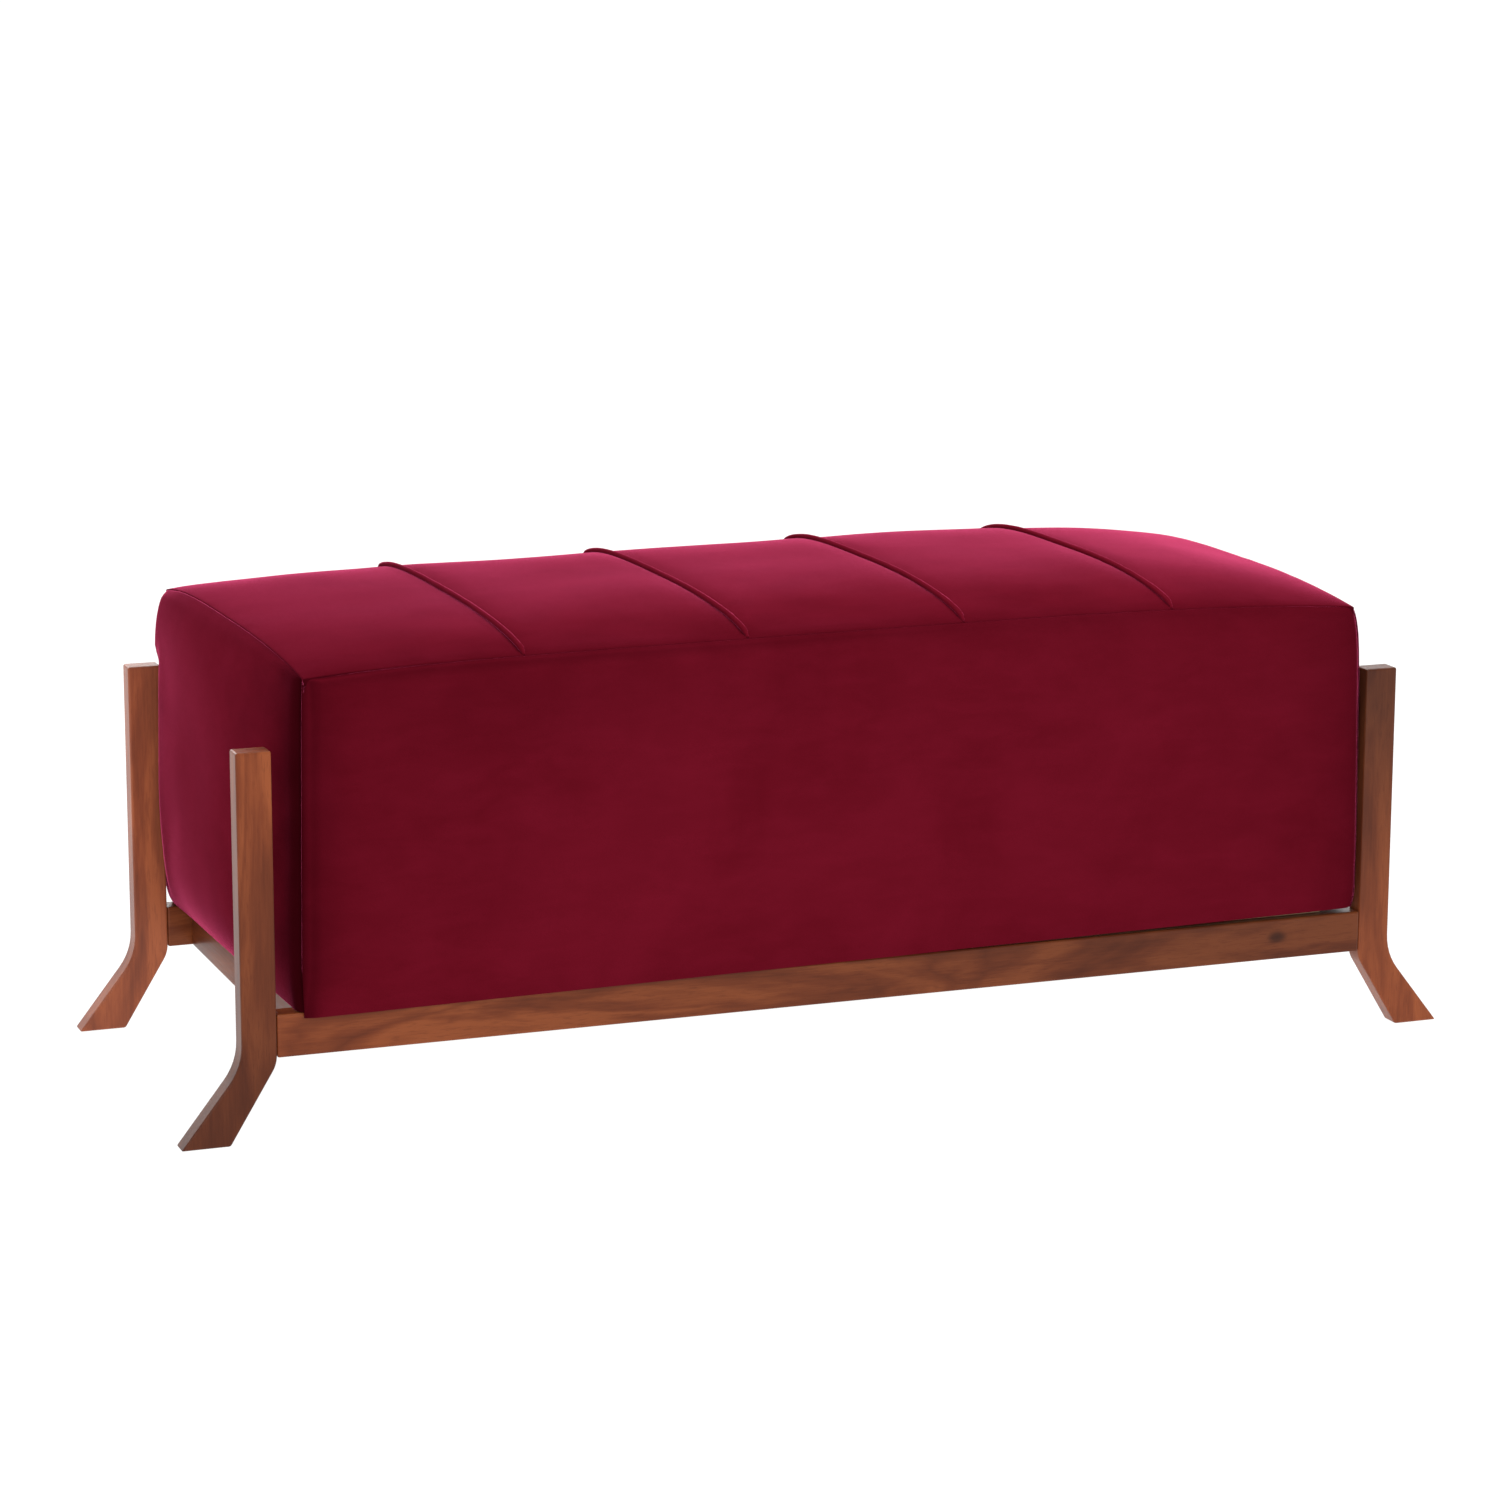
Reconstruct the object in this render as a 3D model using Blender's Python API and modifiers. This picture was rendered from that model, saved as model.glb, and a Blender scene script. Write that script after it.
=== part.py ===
"""An upholstered bench: a velvet box seat on a low wooden frame with four flared legs.

The origin is on the floor under the middle of the bench, +X runs along it to the right,
the front is at -Y and +Z is up. All sizes are in metres.
"""

from math import atan2, cos, pi, sin, tan

import bmesh
import bpy
from mathutils import Matrix, Vector

# Overall sizes
LEG_SPAN = 1.1374            # over the outer faces of the legs, above their feet
DEPTH = 0.433                # over the front and back faces of the legs

# Legs: a straight post that kicks outwards below the knee
LEG_WIDTH = 0.032
LEG_THICKNESS = 0.022
LEG_HEIGHT = 0.354
KNEE_HEIGHT = 0.0715
FOOT_KICK = 0.056            # how far the foot's tip stands out past the post
FOOT_WIDTH = 0.0445
OUTER_KNEE_RADIUS = 0.056
INNER_KNEE_RADIUS = 0.028

# Rails
RAIL_HEIGHT = 0.0395
RAIL_THICKNESS = 0.022
RAIL_BOTTOM = 0.077
END_RAIL_SETBACK = 0.0238    # from a leg's inner face to the end rail's outer face
EASED_EDGE = 0.0018

# Frame joints
DOWEL_RADIUS = 0.004
DOWEL_SPACING = 0.020
LEG_DOWEL_LENGTH = 0.036
LEG_DOWEL_IN_LEG = 0.016
RAIL_DOWEL_LENGTH = 0.036
RAIL_DOWEL_IN_RAIL = 0.012
DOWEL_END_ROOM = 0.001       # empty space past each end of a dowel
CORNER_BLOCK_LEG = 0.042
CORNER_BLOCK_HEIGHT = 0.028
SCREW_RADIUS = 0.0022
SCREW_HEAD_RADIUS = 0.0045
SCREW_HEAD_HEIGHT = 0.0024
SCREW_CROWN_RADIUS = 0.0027  # the flat on top of a screw's head
SCREW_TIP = 0.004
SCREW_IN_BOARD = 0.009
SCREW_CLEARANCE = 0.0005

# Box seat
SEAT_TO_LEG = 0.0217         # from a leg's inner face to the seat's end seams
SEAM_HEIGHT = 0.416          # the top seam at the seat's corners
FRONT_SEAM_RISE = 0.012      # how far the top seam arches up along the front and back
END_SEAM_RISE = 0.011        # how far it arches up along the ends
CROWN = 0.025                # how far the top rises from the front seam to the middle
CROWN_FULLNESS = 0.77        # below 1, the crown is steeper at the seams and flatter in the middle
FRONT_BULGE = 0.003
END_BULGE = 0.019
BOARD_THICKNESS = 0.012
SIDE_PADDING = 0.008
END_PADDING = 0.014
TOP_PADDING = 0.038          # at the seat's edge, and deeper under the crown
TOP_PAD_FLARE = 0.5          # how much of the ends' bulge the bottom of the top pad follows
COVER_THICKNESS = 0.0015
DUST_COVER_THICKNESS = 0.001
DUST_COVER_MARGIN = 0.004
WELT_RADIUS = 0.0028
WELT_LIFT = 0.0015           # from the cover's surface up to a welt's middle
WELT_COUNT = 4
WELT_SPACING = 0.2115
WELT_REACH = 0.985           # a welt's ends, as a share of the way from the middle to the seams
WELT_SHIFT = 0.012           # the sewn pattern sits this far to the right of the middle
WELT_SLANT = 0.011           # a welt's back end is this far to the left of its front end

GAP = 0.0003                 # left between pieces that touch
ROUND_SIDES = 12
ARC_STEPS = 6
WELD_DISTANCE = 0.00001
FLAT_ANGLE = 0.001           # faces this close to one plane become one face
PAD_STEPS = 5                # rows of faces up a side, below the deck's top
RIM_STEPS = 3                # and above it
LONG_STEPS = 12              # columns of faces along the front and back
CROSS_STEPS = 10             # rows of faces across the seat
END_PANEL_STEPS = 5          # columns in the first and last top panel
MIDDLE_PANEL_STEPS = 3       # and in the ones between

# Places that follow from the sizes above
LEG_OUTER_X = LEG_SPAN / 2
LEG_INNER_X = LEG_OUTER_X - LEG_WIDTH
LEG_Y = (DEPTH - LEG_THICKNESS) / 2
RAIL_TOP = RAIL_BOTTOM + RAIL_HEIGHT
RAIL_MIDDLE = RAIL_BOTTOM + RAIL_HEIGHT / 2
LONG_RAIL_Y = (DEPTH - RAIL_THICKNESS) / 2
LONG_RAIL_INNER_Y = DEPTH / 2 - RAIL_THICKNESS
END_RAIL_X = LEG_INNER_X - END_RAIL_SETBACK - RAIL_THICKNESS / 2
END_RAIL_INNER_X = END_RAIL_X - RAIL_THICKNESS / 2
SEAT_X = LEG_INNER_X - SEAT_TO_LEG
SEAT_Y = DEPTH / 2
SEAT_BOTTOM = RAIL_TOP + GAP
SKIN = COVER_THICKNESS + GAP
CASE_X = SEAT_X - SKIN - END_PADDING - GAP
CASE_Y = SEAT_Y - SKIN - SIDE_PADDING - GAP
BOARD_TOP = SEAT_BOTTOM + BOARD_THICKNESS
DECK_TOP = SEAM_HEIGHT - SKIN - TOP_PADDING - GAP
DECK_BOTTOM = DECK_TOP - BOARD_THICKNESS
SCREW_INSET = CORNER_BLOCK_LEG / 3
CORNER_X = END_RAIL_INNER_X - GAP
CORNER_Y = LONG_RAIL_INNER_Y - GAP

ENDS = (("left", -1), ("right", 1))
SIDES = (("front", -1), ("back", 1))


def empty_scene():
    for obj in list(bpy.data.objects):
        bpy.data.objects.remove(obj, do_unlink=True)


def new_collection(name):
    collection = bpy.data.collections.new(name)
    bpy.context.scene.collection.children.link(collection)
    return collection


def new_material(name, colour, roughness, metallic=0.0):
    material = bpy.data.materials.new(name)
    material.use_nodes = True
    shader = material.node_tree.nodes["Principled BSDF"]
    shader.inputs["Base Color"].default_value = (*colour, 1.0)
    shader.inputs["Roughness"].default_value = roughness
    shader.inputs["Metallic"].default_value = metallic
    return material


def place(name, mesh, material, location=(0, 0, 0), turn=0.0):
    """An object of the part, turned about Z and set at its location."""
    if not mesh.materials:
        mesh.materials.append(material)
    obj = bpy.data.objects.new(name, mesh)
    PARTS.objects.link(obj)
    obj.location = location
    obj.rotation_euler = (0, 0, turn)
    return obj


def ease_edges(obj, width=EASED_EDGE):
    bevel = obj.modifiers.new("eased edges", "BEVEL")
    bevel.width = width
    bevel.segments = 2
    bevel.limit_method = "ANGLE"
    bevel.angle_limit = pi / 4


def cut(obj, cutter):
    """Takes the cutter's shape out of the object."""
    hole = obj.modifiers.new("hole", "BOOLEAN")
    hole.operation = "DIFFERENCE"
    hole.solver = "EXACT"
    hole.object = cutter


def new_cutter(name, mesh, location, rotation=(0, 0, 0)):
    cutter = bpy.data.objects.new(name, mesh)
    CUTTERS.objects.link(cutter)
    cutter.location = location
    cutter.rotation_euler = rotation
    cutter.hide_render = True
    cutter.display_type = "WIRE"
    return cutter


def mesh_from(bm, name):
    bmesh.ops.recalc_face_normals(bm, faces=bm.faces)
    mesh = bpy.data.meshes.new(name)
    bm.to_mesh(mesh)
    bm.free()
    return mesh


def box_mesh(name, size):
    bm = bmesh.new()
    bmesh.ops.create_cube(bm, size=1.0)
    bmesh.ops.scale(bm, vec=size, verts=bm.verts)
    return mesh_from(bm, name)


def cylinder_mesh(name, radius, length):
    bm = bmesh.new()
    bmesh.ops.create_cone(bm, cap_ends=True, segments=ROUND_SIDES, radius1=radius, radius2=radius, depth=length)
    return mesh_from(bm, name)


def rounded_outline(corners):
    """The outline through (x, y, radius) corners, each rounded by an arc of its radius."""
    points = []
    for index, (x, y, radius) in enumerate(corners):
        here = Vector((x, y))
        if not radius:
            points.append(here)
            continue
        before = (Vector(corners[index - 1][:2]) - here).normalized()
        after = (Vector(corners[(index + 1) % len(corners)][:2]) - here).normalized()
        half_angle = before.angle(after) / 2
        centre = here + (before + after).normalized() * radius / sin(half_angle)
        start = here + before * radius / tan(half_angle) - centre
        end = here + after * radius / tan(half_angle) - centre
        sweep = start.angle_signed(end)
        points += [centre + Matrix.Rotation(-sweep * step / ARC_STEPS, 2) @ start for step in range(ARC_STEPS + 1)]
    return points


def plate_mesh(name, outline, thickness):
    """A flat plate in the X-Y plane with the given outline, half its thickness each side of the plane.

    Each cap is one face, so that a bevel around it stays even.
    """
    curve = bpy.data.curves.new(name, "CURVE")
    curve.dimensions = "2D"
    curve.fill_mode = "BOTH"
    curve.extrude = thickness / 2
    spline = curve.splines.new("POLY")
    spline.points.add(len(outline) - 1)
    for point, (x, y) in zip(spline.points, outline):
        point.co = (x, y, 0, 1)
    spline.use_cyclic_u = True
    mesh = solid_from_curve(name, curve)
    bm = bmesh.new()
    bm.from_mesh(mesh)
    bpy.data.meshes.remove(mesh)
    bmesh.ops.dissolve_limit(bm, angle_limit=FLAT_ANGLE, verts=bm.verts[:], edges=bm.edges[:])
    return mesh_from(bm, name)


def solid_from_curve(name, curve):
    """The curve's evaluated shape as a mesh whose caps are welded to its sides."""
    guide = bpy.data.objects.new(name, curve)
    CUTTERS.objects.link(guide)
    evaluated = guide.evaluated_get(bpy.context.evaluated_depsgraph_get())
    mesh = bpy.data.meshes.new_from_object(evaluated)
    bpy.data.objects.remove(guide)
    bpy.data.curves.remove(curve)
    bm = bmesh.new()
    bm.from_mesh(mesh)
    bpy.data.meshes.remove(mesh)
    bmesh.ops.remove_doubles(bm, verts=bm.verts, dist=WELD_DISTANCE)
    return mesh_from(bm, name)


def sheet_solid(name, columns, rows, outer, inner, flat_back=False):
    """A closed solid between two sheets.

    columns and rows are rising values from -1 to 1. outer(u, v) and inner(u, v) give the points
    of the two sheets, and flat_back joins the inner sheet into one face.
    """
    bm = bmesh.new()
    across = len(columns) - 1
    along = len(rows) - 1
    bmesh.ops.create_grid(bm, x_segments=across, y_segments=along, size=1.0)
    extruded = bmesh.ops.extrude_face_region(bm, geom=bm.faces[:])["geom"]
    copies = {item for item in extruded if isinstance(item, bmesh.types.BMVert)}
    for vert in bm.verts:
        u = columns[round((vert.co.x + 1) * across / 2)]
        v = rows[round((vert.co.y + 1) * along / 2)]
        vert.co = inner(u, v) if vert in copies else outer(u, v)
    if flat_back:
        back_faces = [face for face in bm.faces if all(vert in copies for vert in face.verts)]
        bmesh.ops.dissolve_faces(bm, faces=back_faces, use_verts=False)
    mesh = mesh_from(bm, name)
    mesh.set_sharp_from_angle(angle=pi / 4)
    return mesh


# The frame

def leg_mesh():
    """A leg with its post's inner face at X = 0 and its foot towards +X."""
    tip = LEG_WIDTH + FOOT_KICK
    corners = (
        (0, LEG_HEIGHT, 0),
        (LEG_WIDTH, LEG_HEIGHT, 0),
        (LEG_WIDTH, KNEE_HEIGHT, OUTER_KNEE_RADIUS),
        (tip, 0, 0),
        (tip - FOOT_WIDTH, 0, 0),
        (0, KNEE_HEIGHT, INNER_KNEE_RADIUS),
    )
    mesh = plate_mesh("leg", rounded_outline(corners), LEG_THICKNESS)
    mesh.transform(Matrix.Rotation(pi / 2, 4, "X"))
    return mesh


def make_legs(wood):
    mesh = leg_mesh()
    for side, y_sign in SIDES:
        for end, x_sign in ENDS:
            turn = 0 if x_sign > 0 else pi
            leg = place(f"leg_{side}_{end}", mesh, wood, (x_sign * LEG_INNER_X, y_sign * LEG_Y, 0), turn)
            ease_edges(leg)


def make_rails(wood):
    long_rail = box_mesh("long_rail", (2 * (LEG_INNER_X - GAP), RAIL_THICKNESS, RAIL_HEIGHT))
    for side, y_sign in SIDES:
        rail = place(f"{side}_rail", long_rail, wood, (0, y_sign * LONG_RAIL_Y, RAIL_MIDDLE))
        ease_edges(rail)
    end_rail = box_mesh("end_rail", (RAIL_THICKNESS, 2 * (LONG_RAIL_INNER_Y - GAP), RAIL_HEIGHT))
    for end, x_sign in ENDS:
        rail = place(f"{end}_end_rail", end_rail, wood, (x_sign * END_RAIL_X, 0, RAIL_MIDDLE))
        ease_edges(rail)


def add_dowel(name, length, centre, rotation, pieces, material):
    """A dowel and the hole that it needs in each of the two pieces that it joins."""
    dowel = place(name, cylinder_mesh(name, DOWEL_RADIUS, length), material, centre)
    dowel.rotation_euler = rotation
    dowel.data.set_sharp_from_angle(angle=pi / 4)
    hole = cylinder_mesh(name + "_hole", DOWEL_RADIUS + GAP, length + 2 * DOWEL_END_ROOM)
    cutter = new_cutter(name + "_hole", hole, centre, rotation)
    for piece in pieces:
        cut(bpy.data.objects[piece], cutter)


def make_dowels(material):
    heights = (("lower", RAIL_MIDDLE - DOWEL_SPACING / 2), ("upper", RAIL_MIDDLE + DOWEL_SPACING / 2))
    leg_dowel_x = LEG_INNER_X + LEG_DOWEL_IN_LEG - LEG_DOWEL_LENGTH / 2
    rail_dowel_y = LONG_RAIL_INNER_Y + RAIL_DOWEL_IN_RAIL - RAIL_DOWEL_LENGTH / 2
    along_x = (0, pi / 2, 0)
    along_y = (pi / 2, 0, 0)
    for side, y_sign in SIDES:
        for end, x_sign in ENDS:
            for level, z in heights:
                corner = f"{side}_{end}_{level}"
                add_dowel(f"leg_dowel_{corner}", LEG_DOWEL_LENGTH, (x_sign * leg_dowel_x, y_sign * LONG_RAIL_Y, z),
                          along_x, (f"leg_{side}_{end}", f"{side}_rail"), material)
                add_dowel(f"rail_dowel_{corner}", RAIL_DOWEL_LENGTH, (x_sign * END_RAIL_X, y_sign * rail_dowel_y, z),
                          along_y, (f"{end}_end_rail", f"{side}_rail"), material)


def make_corner_blocks(wood):
    """Triangular glue blocks inside the frame's corners, level with the rails' tops."""
    outline = ((0, 0), (-CORNER_BLOCK_LEG, 0), (0, -CORNER_BLOCK_LEG))
    mesh = plate_mesh("corner_block", outline, CORNER_BLOCK_HEIGHT)
    for side, y_sign in SIDES:
        for end, x_sign in ENDS:
            turn = atan2(y_sign, x_sign) - pi / 4
            corner = (x_sign * CORNER_X, y_sign * CORNER_Y, RAIL_TOP - CORNER_BLOCK_HEIGHT / 2)
            place(f"corner_block_{side}_{end}", mesh, wood, corner, turn)


def screw_mesh():
    """A pan-head screw turned about Z, with the underside of its head at Z = 0 and its tip up."""
    length = CORNER_BLOCK_HEIGHT + GAP + SCREW_IN_BOARD
    profile = (
        (0, length),
        (SCREW_RADIUS, length - SCREW_TIP),
        (SCREW_RADIUS, 0),
        (SCREW_HEAD_RADIUS, 0),
        (SCREW_HEAD_RADIUS, -SCREW_HEAD_HEIGHT / 2),
        (SCREW_CROWN_RADIUS, -SCREW_HEAD_HEIGHT),
        (0, -SCREW_HEAD_HEIGHT),
    )
    bm = bmesh.new()
    verts = [bm.verts.new((radius, 0, z)) for radius, z in profile]
    edges = [bm.edges.new(pair) for pair in zip(verts, verts[1:])]
    bmesh.ops.spin(bm, geom=verts + edges, axis=(0, 0, 1), cent=(0, 0, 0), angle=2 * pi,
                   steps=ROUND_SIDES, use_merge=True)
    bmesh.ops.remove_doubles(bm, verts=bm.verts, dist=WELD_DISTANCE)
    return mesh_from(bm, "seat_screw")


def make_seat_screws(steel):
    """Screws up through the corner blocks into the base board, which hold the seat down."""
    mesh = screw_mesh()
    mesh.set_sharp_from_angle(angle=pi / 4)
    head_z = RAIL_TOP - CORNER_BLOCK_HEIGHT - GAP
    hole_length = CORNER_BLOCK_HEIGHT + GAP + SCREW_IN_BOARD + DOWEL_END_ROOM
    hole = cylinder_mesh("seat_screw_hole", SCREW_RADIUS + SCREW_CLEARANCE, hole_length + GAP)
    for side, y_sign in SIDES:
        for end, x_sign in ENDS:
            x = x_sign * (CORNER_X - SCREW_INSET)
            y = y_sign * (CORNER_Y - SCREW_INSET)
            place(f"seat_screw_{side}_{end}", mesh, steel, (x, y, head_z))
            cutter = new_cutter(f"seat_screw_hole_{side}_{end}", hole, (x, y, head_z + hole_length / 2))
            cut(bpy.data.objects[f"corner_block_{side}_{end}"], cutter)
            cut(bpy.data.objects["base_board"], cutter)


# The seat's case

def make_case(board):
    """A box of boards: the base board, four panels, a rib across the middle and the top deck."""
    base = box_mesh("base_board", (2 * CASE_X, 2 * CASE_Y, BOARD_THICKNESS))
    place("base_board", base, board, (0, 0, SEAT_BOTTOM + BOARD_THICKNESS / 2))
    panel_height = DECK_BOTTOM - BOARD_TOP - 2 * GAP
    panel_z = BOARD_TOP + GAP + panel_height / 2
    between = 2 * (CASE_Y - BOARD_THICKNESS - GAP)
    long_panel = box_mesh("long_panel", (2 * CASE_X, BOARD_THICKNESS, panel_height))
    for side, y_sign in SIDES:
        place(f"{side}_panel", long_panel, board, (0, y_sign * (CASE_Y - BOARD_THICKNESS / 2), panel_z))
    cross_panel = box_mesh("cross_panel", (BOARD_THICKNESS, between, panel_height))
    for end, x_sign in ENDS:
        place(f"{end}_panel", cross_panel, board, (x_sign * (CASE_X - BOARD_THICKNESS / 2), 0, panel_z))
    place("centre_rib", cross_panel, board, (0, 0, panel_z))
    deck = box_mesh("top_deck", (2 * CASE_X, 2 * CASE_Y, BOARD_THICKNESS))
    place("top_deck", deck, board, (0, 0, DECK_BOTTOM + BOARD_THICKNESS / 2))


# The seat's padding and cover

def swell(s):
    """1 in the middle of a side, falling to 0 at s = -1 and s = 1."""
    return 1 - s ** 4


def crown_height(u, v):
    """The cover's height over the floor at u along the seat and v across it, both from -1 to 1."""
    edges = SEAM_HEIGHT + FRONT_SEAM_RISE * swell(u) + END_SEAM_RISE * swell(v) * (1 - swell(u))
    return edges + CROWN * (swell(u) * swell(v)) ** CROWN_FULLNESS


def slanted(u, v):
    """The place along the seat of the top's column u at v: columns slant like the welts, but the ends stay square."""
    return u - WELT_SLANT / SEAT_X * swell(u) * (1 + v) / 2


def close_at_ends(count):
    """Values from -1 to 1 in count steps that get closer towards both ends."""
    return [sin(pi / 2 * (2 * step / count - 1)) for step in range(count + 1)]


def welt_positions():
    return [WELT_SHIFT + WELT_SPACING * (index - (WELT_COUNT - 1) / 2) for index in range(WELT_COUNT)]


def panel_columns():
    """For each top panel, its columns along the seat, each as a share of the seat's half length."""
    half_seam = WELT_RADIUS + GAP
    starts = [-SEAT_X] + [x + half_seam for x in welt_positions()]
    ends = [x - half_seam for x in welt_positions()] + [SEAT_X]
    panels = []
    for index, (start, end) in enumerate(zip(starts, ends)):
        steps = END_PANEL_STEPS if index in (0, WELT_COUNT) else MIDDLE_PANEL_STEPS
        shares = [step / steps for step in range(steps + 1)]
        if index == 0:
            shares = [1 - cos(pi / 2 * share) for share in shares]
        if index == WELT_COUNT:
            shares = [sin(pi / 2 * share) for share in shares]
        panels.append([(start + (end - start) * share) / SEAT_X for share in shares])
    return panels


# Rows up a side of the seat: w is -1 at its bottom edge, DECK_ROW level with the deck and 1 at the seam
DECK_ROW = 0.5
PAD_ROWS = [-1 + (DECK_ROW + 1) * (1 - cos(pi / 2 * step / PAD_STEPS)) for step in range(PAD_STEPS + 1)]
RIM_ROWS = [DECK_ROW + (1 - DECK_ROW) * sin(pi / 2 * step / RIM_STEPS) for step in range(1, RIM_STEPS + 1)]
SIDE_ROWS = PAD_ROWS + RIM_ROWS
SIDE_COLUMNS = close_at_ends(LONG_STEPS)
TOP_ROWS = close_at_ends(CROSS_STEPS)


def side_top(u, v):
    """The top of a side's cover, just under the top panels' edge."""
    return crown_height(u, v) - SKIN


def side_height(top, w):
    """A height on a side: level rows up to the deck, which then spread up to the side's top."""
    if w <= DECK_ROW:
        return SEAT_BOTTOM + (DECK_TOP - SEAT_BOTTOM) * (w + 1) / (DECK_ROW + 1)
    return DECK_TOP + (top - DECK_TOP) * (w - DECK_ROW) / (1 - DECK_ROW)


def bulge(most, s, z, top):
    """How far a side stands out at s along it, from -1 to 1, and at the height z below its top."""
    return most * swell(s) * swell(2 * (z - SEAT_BOTTOM) / (top - SEAT_BOTTOM) - 1)


def make_top(velvet, foam):
    """The crowned top pad, and over it the cover's panels side by side."""
    half_width = SEAT_Y - SKIN

    def surface(u, v):
        along = slanted(u, v)
        return Vector((along * SEAT_X, v * SEAT_Y, crown_height(along, v)))

    def underside(u, v):
        return surface(u, v) - Vector((0, 0, COVER_THICKNESS))

    def pad_top(u, v):
        along = slanted(u, v)
        return Vector((along * (SEAT_X - SKIN), v * half_width, crown_height(along, v) - SKIN))

    def pad_bottom(u, v):
        half_length = SEAT_X - SKIN + TOP_PAD_FLARE * bulge(END_BULGE, v, DECK_TOP, side_top(1, v))
        return Vector((u * half_length, v * half_width, DECK_TOP + GAP))

    panels = panel_columns()
    for number, columns in enumerate(panels, start=1):
        mesh = sheet_solid(f"top_cover_{number}", columns, TOP_ROWS, surface, underside)
        place(f"top_cover_{number}", mesh, velvet)
    pad = sheet_solid("top_foam", sum(panels, []), TOP_ROWS, pad_top, pad_bottom, flat_back=True)
    place("top_foam", pad, foam)


def make_welts(velvet):
    """Round cords in velvet over the top, one on each seam between two panels."""
    for number, x in enumerate(welt_positions(), start=1):
        curve = bpy.data.curves.new("welt", "CURVE")
        curve.dimensions = "3D"
        curve.bevel_depth = WELT_RADIUS
        curve.bevel_resolution = 2
        curve.use_fill_caps = True
        rows = [WELT_REACH * row for row in TOP_ROWS]
        spline = curve.splines.new("POLY")
        spline.points.add(len(rows) - 1)
        for point, row in zip(spline.points, rows):
            along = slanted(x / SEAT_X, row)
            point.co = (along * SEAT_X, row * SEAT_Y, crown_height(along, row) + WELT_LIFT, 1)
        mesh = solid_from_curve(f"welt_{number}", curve)
        mesh.set_sharp_from_angle(angle=pi / 3)
        place(f"welt_{number}", mesh, velvet)


def make_side(side, y_sign, velvet, foam):
    """The long cover on the front or back and the pad behind it."""
    def face(half_length, inset):
        def point(u, w):
            top = side_top(u, 1)
            z = side_height(top, w)
            y = SEAT_Y + bulge(FRONT_BULGE, u, z, top) - inset
            return Vector((u * half_length, y_sign * y, z))
        return point

    def pad_back(u, w):
        return Vector((u * CASE_X, y_sign * (CASE_Y + GAP), side_height(DECK_TOP, w)))

    cover = sheet_solid(f"{side}_cover", SIDE_COLUMNS, SIDE_ROWS, face(SEAT_X, 0), face(SEAT_X, COVER_THICKNESS))
    place(f"{side}_cover", cover, velvet)
    pad = sheet_solid(f"{side}_foam", SIDE_COLUMNS, PAD_ROWS, face(CASE_X, SKIN), pad_back, flat_back=True)
    place(f"{side}_foam", pad, foam)


def make_end(end, x_sign, velvet, foam):
    """The bulging cover on one end and the pad behind it, which bulges with it."""
    def face(inset):
        def point(v, w):
            top = side_top(1, v)
            z = side_height(top, w)
            x = SEAT_X + bulge(END_BULGE, v, z, top) - inset
            return Vector((x_sign * x, v * (SEAT_Y - SKIN), z))
        return point

    def pad_back(v, w):
        return Vector((x_sign * (CASE_X + GAP), v * (SEAT_Y - SKIN), side_height(DECK_TOP, w)))

    cover = sheet_solid(f"{end}_cover", TOP_ROWS, SIDE_ROWS, face(0), face(COVER_THICKNESS))
    place(f"{end}_cover", cover, velvet)
    pad = sheet_solid(f"{end}_foam", TOP_ROWS, PAD_ROWS, face(SKIN), pad_back, flat_back=True)
    place(f"{end}_foam", pad, foam)


def make_dust_cover(cloth):
    """The thin cloth under the base board, cut back around the corner blocks."""
    x = END_RAIL_INNER_X - DUST_COVER_MARGIN
    y = LONG_RAIL_INNER_Y - DUST_COVER_MARGIN
    clip = CORNER_BLOCK_LEG + DUST_COVER_MARGIN
    outline = ((x, y - clip), (x - clip, y), (clip - x, y), (-x, y - clip),
               (-x, clip - y), (clip - x, -y), (x - clip, -y), (x, clip - y))
    mesh = plate_mesh("dust_cover", outline, DUST_COVER_THICKNESS)
    place("dust_cover", mesh, cloth, (0, 0, SEAT_BOTTOM - GAP - DUST_COVER_THICKNESS / 2))


def build():
    walnut = new_material("stained_walnut", (0.25, 0.08, 0.04), 0.3)
    beech = new_material("beech", (0.55, 0.36, 0.20), 0.6)
    plywood = new_material("plywood", (0.60, 0.45, 0.28), 0.7)
    steel = new_material("zinc_plated_steel", (0.65, 0.65, 0.62), 0.35, 1.0)
    foam = new_material("foam", (0.80, 0.76, 0.62), 0.95)
    velvet = new_material("burgundy_velvet", (0.16, 0.008, 0.03), 0.8)
    cloth = new_material("dust_cloth", (0.03, 0.03, 0.03), 0.95)
    make_legs(walnut)
    make_rails(walnut)
    make_dowels(beech)
    make_corner_blocks(beech)
    make_case(plywood)
    make_seat_screws(steel)
    make_top(velvet, foam)
    make_welts(velvet)
    for side, y_sign in SIDES:
        make_side(side, y_sign, velvet, foam)
    for end, x_sign in ENDS:
        make_end(end, x_sign, velvet, foam)
    make_dust_cover(cloth)


empty_scene()
PARTS = new_collection("upholstered_bench")
CUTTERS = new_collection("cutters")
build()
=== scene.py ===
"""The looks of an upholstered bench: a sewn velvet seat on a varnished walnut frame, in a pale studio."""

from math import cos, pi, radians

import bpy
import numpy as np
from mathutils import Matrix, Vector, noise


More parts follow.
